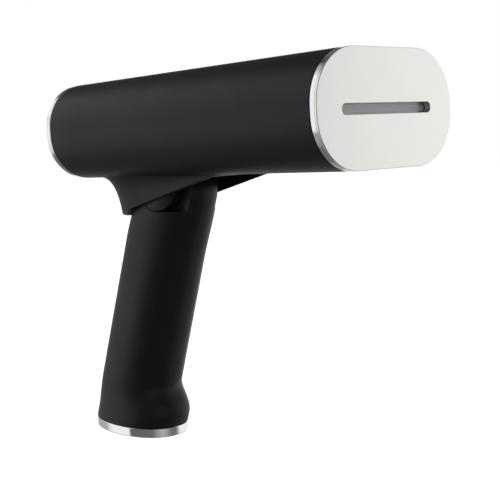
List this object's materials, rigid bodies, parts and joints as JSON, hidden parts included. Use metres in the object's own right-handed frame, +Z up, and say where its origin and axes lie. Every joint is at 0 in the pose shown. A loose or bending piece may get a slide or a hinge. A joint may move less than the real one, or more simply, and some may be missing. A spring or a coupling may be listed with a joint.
{
  "type": "garment steamer",
  "caption": "Hand-held garment steamer: a flat round-sided barrel with a slotted steam plate, on a leaning pistol grip that folds forward under it.",
  "frame": {"origin": "middle of the grip, on the handle's own axis, where a hand holds it", "axes": "+Z up; the barrel lies along Y with its steam plate facing -Y and its tank end +Y; X is across, and the outside is the same on both sides of X = 0"},
  "size_m": [0.079, 0.203, 0.1768],
  "materials": {
    "black_shell": "satin-matte moulded black plastic",
    "black_inner": "plain moulded black plastic",
    "chrome_trim": "polished chrome plating",
    "satin_plate": "fine satin, bright silver",
    "grey_screen": "grey etched screen",
    "cast_aluminium": "rough cast",
    "steel": "bright zinc-plated",
    "silicone": "matt red-brown silicone rubber",
    "smoke_tank": "smoke-grey moulded tank",
    "brass": "turned",
    "white_plastic": "plain moulded",
    "green_board": "solder-masked board",
    "wire_sleeve": "silicone wire sleeve",
    "lens": "clear white lens"
  },
  "bodies": {
    "handle": {"handle_shell": "black_shell", "hinge_knuckle": "black_inner", "hinge_bush_left": "brass", "hinge_bush_right": "brass", "friction_washer_left": "steel", "friction_washer_right": "steel", "board_carrier": "black_inner", "control_board": "green_board", "relay": "white_plastic", "micro_switch": "black_inner", "indicator_lens": "lens", "live_wire": "wire_sleeve", "neutral_wire": "wire_sleeve", "base_ring": "chrome_trim", "base_cap": "black_shell", "power_inlet": "black_inner", "inlet_pin_left": "brass", "inlet_pin_right": "brass"},
    "button": {"steam_button": "black_shell"},
    "barrel": {"barrel_shell": "black_shell", "front_ring": "chrome_trim", "steam_plate": "satin_plate", "diffuser_screen": "grey_screen", "plate_seal": "silicone", "front_bulkhead": "black_inner", "steam_horn": "black_inner", "boiler_body": "cast_aluminium", "boiler_gasket": "silicone", "boiler_cover": "cast_aluminium", "boiler_screw_1": "steel", "boiler_screw_2": "steel", "boiler_screw_3": "steel", "boiler_screw_4": "steel", "heating_element": "steel", "heat_shield": "steel", "thermostat": "white_plastic", "thermal_fuse": "steel", "pump": "white_plastic", "pump_mount_front": "silicone", "pump_mount_rear": "silicone", "feed_hose": "silicone", "delivery_hose": "silicone", "tank_coupling": "white_plastic", "well_liner": "black_inner", "hinge_fork": "black_shell", "fork_screw_front": "steel", "fork_screw_rear": "steel", "hinge_pin": "steel"},
    "tank": {"water_tank": "smoke_tank", "tank_valve": "brass", "tank_gasket": "silicone", "rear_ring": "chrome_trim", "rear_cap": "black_shell", "flap_pin": "steel"},
    "flap": {"fill_flap": "black_shell", "fill_plug": "silicone"}
  },
  "joints": [
    {"name": "handle_fold", "type": "hinge", "parent": "handle", "child": "barrel", "pos_m": [0, -0.02975, 0.06579], "axis": [1, 0, 0], "range_deg": [0, 90]},
    {"name": "button_press", "type": "slide", "parent": "handle", "child": "button", "axis": [0, -0.9311, -0.3649], "range_m": [0, 0.0015], "stiffness_N_per_m": 700, "springref_m": -0.002},
    {"name": "tank_slide", "type": "slide", "parent": "barrel", "child": "tank", "axis": [0, 1, 0], "range_m": [0, 0.07]},
    {"name": "flap_open", "type": "hinge", "parent": "tank", "child": "flap", "pos_m": [0, 0.02085, 0.08739], "axis": [-1, 0, 0], "range_deg": [0, 100]}
  ]
}
